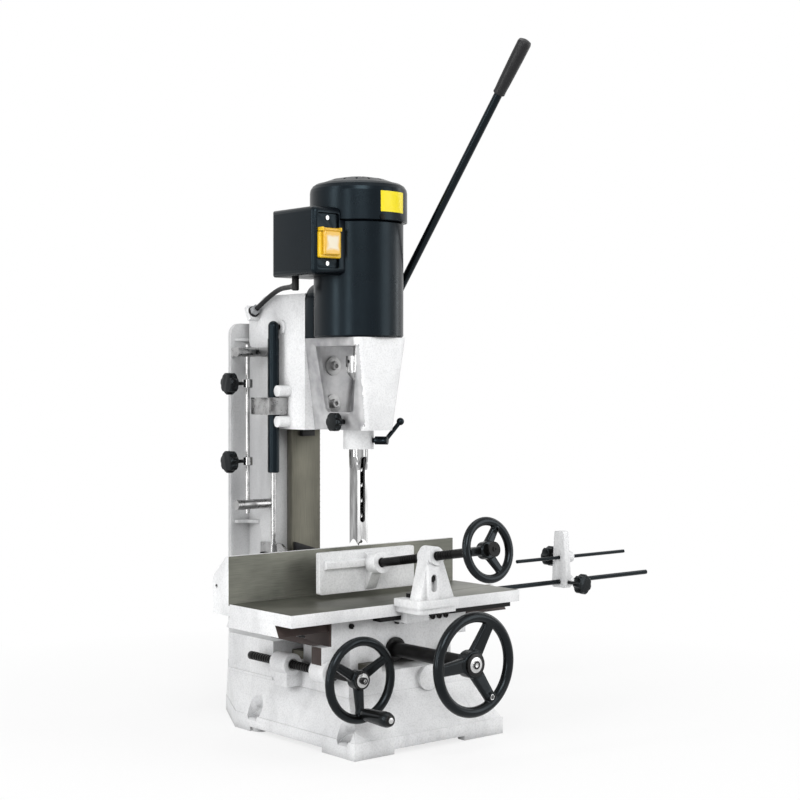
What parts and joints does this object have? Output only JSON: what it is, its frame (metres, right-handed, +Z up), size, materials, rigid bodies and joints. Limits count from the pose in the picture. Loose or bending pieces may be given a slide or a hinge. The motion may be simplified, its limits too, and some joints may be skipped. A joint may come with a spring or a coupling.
{
  "type": "benchtop mortiser",
  "caption": "Hollow-chisel mortiser for the bench: ribbed column, lever-fed head with motor and gas strut, two-way table with handwheels, fence, work clamp and length stop.",
  "frame": {"origin": "centre of the four bench-bolt holes on the underside of the base", "axes": "+Z up along the column, +X along the table to the operator's right, +Y from the operator towards the column"},
  "size_m": [0.839, 0.5593, 1.0508],
  "materials": {
    "paint_cast": "satin, fine orange-peel over cast iron",
    "machined_iron": "ground, dry",
    "motor_black": "satin",
    "black_steel": "blacked",
    "black_gloss": "gloss black",
    "bright_steel": "polished",
    "steel": "brushed",
    "phenolic": "gloss",
    "switch_grey": "satin",
    "switch_yellow": "gloss",
    "flap_amber": "gloss",
    "button_green": "gloss",
    "button_red": "gloss",
    "rubber_black": "matte",
    "bronze": "turned"
  },
  "bodies": {
    "frame": {"base_casting": "paint_cast", "column_casting": "paint_cast", "column_fasteners": "black_steel", "column_brackets": "steel", "lift_rack": "steel", "strut_rod": "bright_steel", "depth_rod": "bright_steel", "cross_nut": "bronze"},
    "head": {"head_casting": "paint_cast", "head_gib": "machined_iron", "head_bushes": "bronze", "head_fasteners": "steel", "motor_pad": "motor_black", "motor_frame": "motor_black", "fan_cover": "motor_black", "strut_cylinder": "motor_black", "stop_arm": "steel", "chisel": "steel", "switch_box": "motor_black", "switch_plate": "motor_black", "switch_frame": "switch_yellow", "lead_gland": "rubber_black", "switch_lead": "rubber_black"},
    "lever": {"lift_pinion": "steel", "lever_hub": "black_steel", "lever_rod": "black_gloss", "lever_grip": "rubber_black"},
    "spindle": {"motor_shaft": "steel", "chuck": "steel", "auger_bit": "bright_steel"},
    "chisel_lock": {"chisel_lock": "black_gloss"},
    "head_knob": {"head_knob": "phenolic"},
    "switch_flap": {"switch_flap": "flap_amber"},
    "start_button": {"start_button": "button_green"},
    "stop_button": {"stop_button": "button_red"},
    "lower_collar": {"lower_collar": "bright_steel"},
    "upper_collar": {"upper_collar": "bright_steel"},
    "lower_collar_knob": {"lower_collar_knob": "phenolic"},
    "upper_collar_knob": {"upper_collar_knob": "phenolic"},
    "saddle": {"saddle_casting": "paint_cast", "saddle_fittings": "steel"},
    "cross_screw": {"cross_feed_screw": "black_steel", "cross_wheel": "phenolic"},
    "crank_handle": {"crank_handle": "phenolic"},
    "feed": {"feed_shaft": "black_steel", "feed_wheel": "phenolic"},
    "table": {"table_casting": "paint_cast", "table_rack": "steel", "clamp_rail": "black_steel", "lower_stop_rod": "black_gloss"},
    "clamp_carriage": {"clamp_bracket": "paint_cast", "bracket_screws": "black_steel"},
    "jaw": {"jaw": "paint_cast"},
    "clamp_screw": {"clamp_screw": "black_steel", "clamp_wheel": "phenolic"},
    "stop_block": {"stop_block": "paint_cast"},
    "upper_stop_rod": {"upper_stop_rod": "black_gloss"},
    "lower_stop_knob": {"lower_stop_knob": "phenolic"},
    "upper_stop_knob": {"upper_stop_knob": "phenolic"}
  },
  "joints": [
    {"name": "head_slide", "type": "slide", "parent": "frame", "child": "head", "axis": [0, 0, 1], "range_m": [-0.068, 0.01]},
    {"name": "lever_swing", "type": "hinge", "parent": "head", "child": "lever", "pos_m": [0.088, 0.139, 0.566], "axis": [1, 0, 0], "range_deg": [-12.9, 86.9]},
    {"name": "spindle_spin", "type": "hinge", "parent": "head", "child": "spindle", "pos_m": [0, 0.032, 0.6], "axis": [0, 0, 1], "continuous": true},
    {"name": "chisel_lock_turn", "type": "hinge", "parent": "head", "child": "chisel_lock", "pos_m": [0, 0.032, 0.4515], "axis": [0.5446, -0.8387, 0], "range_deg": [-90, 0]},
    {"name": "head_knob_turn", "type": "hinge", "parent": "head", "child": "head_knob", "pos_m": [-0.05, 0.029, 0.481], "axis": [-1, 0, 0], "continuous": true},
    {"name": "switch_flap_swing", "type": "hinge", "parent": "head", "child": "switch_flap", "pos_m": [-0.091, -0.017, 0.7735], "axis": [-1, 0, 0], "range_deg": [0, 95]},
    {"name": "start_button_press", "type": "slide", "parent": "head", "child": "start_button", "axis": [0, 1, 0], "range_m": [0, 0.003], "stiffness_N_per_m": 400, "springref_m": -0.002},
    {"name": "stop_button_press", "type": "slide", "parent": "head", "child": "stop_button", "axis": [0, 1, 0], "range_m": [0, 0.003], "stiffness_N_per_m": 400, "springref_m": -0.002},
    {"name": "lower_collar_slide", "type": "slide", "parent": "frame", "child": "lower_collar", "axis": [0, 0, 1], "range_m": [-0.054, 0.06]},
    {"name": "upper_collar_slide", "type": "slide", "parent": "frame", "child": "upper_collar", "axis": [0, 0, 1], "range_m": [-0.01, 0.034]},
    {"name": "lower_collar_knob_turn", "type": "hinge", "parent": "lower_collar", "child": "lower_collar_knob", "pos_m": [-0.126, 0.205, 0.4151], "axis": [-1, 0, 0], "continuous": true},
    {"name": "upper_collar_knob_turn", "type": "hinge", "parent": "upper_collar", "child": "upper_collar_knob", "pos_m": [-0.126, 0.205, 0.5405], "axis": [-1, 0, 0], "continuous": true},
    {"name": "saddle_slide", "type": "slide", "parent": "frame", "child": "saddle", "axis": [0, -1, 0], "range_m": [-0.02, 0.075]},
    {"name": "cross_screw_turn", "type": "hinge", "parent": "saddle", "child": "cross_screw", "pos_m": [-0.139, -0.1475, 0.1167], "axis": [0, -1, 0], "continuous": true},
    {"name": "crank_handle_spin", "type": "hinge", "parent": "cross_screw", "child": "crank_handle", "pos_m": [-0.139, -0.187, 0.0696], "axis": [0, -1, 0], "continuous": true},
    {"name": "table_slide", "type": "slide", "parent": "saddle", "child": "table", "axis": [1, 0, 0], "range_m": [-0.1, 0.1]},
    {"name": "feed_turn", "type": "hinge", "parent": "saddle", "child": "feed", "pos_m": [-0.014, -0.1, 0.1387], "axis": [0, -1, 0], "range_deg": [-240, 240]},
    {"name": "clamp_carriage_slide", "type": "slide", "parent": "table", "child": "clamp_carriage", "axis": [1, 0, 0], "range_m": [-0.015, 0.1]},
    {"name": "jaw_slide", "type": "slide", "parent": "clamp_carriage", "child": "jaw", "axis": [0, 0.9871, -0.1599], "range_m": [-0.06, 0.04]},
    {"name": "clamp_screw_turn", "type": "hinge", "parent": "jaw", "child": "clamp_screw", "pos_m": [0.004, -0.012, 0.262], "axis": [0, -0.9871, 0.1599], "continuous": true},
    {"name": "stop_block_slide", "type": "slide", "parent": "table", "child": "stop_block", "axis": [1, 0, 0], "range_m": [-0.1, 0.15]},
    {"name": "upper_rod_slide", "type": "slide", "parent": "stop_block", "child": "upper_stop_rod", "axis": [1, 0, 0], "range_m": [-0.1, 0.08]},
    {"name": "lower_stop_knob_turn", "type": "hinge", "parent": "stop_block", "child": "lower_stop_knob", "pos_m": [0.398, -0.06, 0.2026], "axis": [0, -1, 0], "continuous": true},
    {"name": "upper_stop_knob_turn", "type": "hinge", "parent": "stop_block", "child": "upper_stop_knob", "pos_m": [0.398, -0.01, 0.2438], "axis": [0, 1, 0], "continuous": true}
  ],
  "couplings": [
    {"joint": "lever_swing", "follows": "head_slide", "rad_per_m": -22.222},
    {"joint": "cross_screw_turn", "follows": "saddle_slide", "rad_per_m": 1570.8},
    {"joint": "feed_turn", "follows": "table_slide", "rad_per_m": -41.667},
    {"joint": "clamp_screw_turn", "follows": "jaw_slide", "rad_per_m": -1256.6}
  ]
}
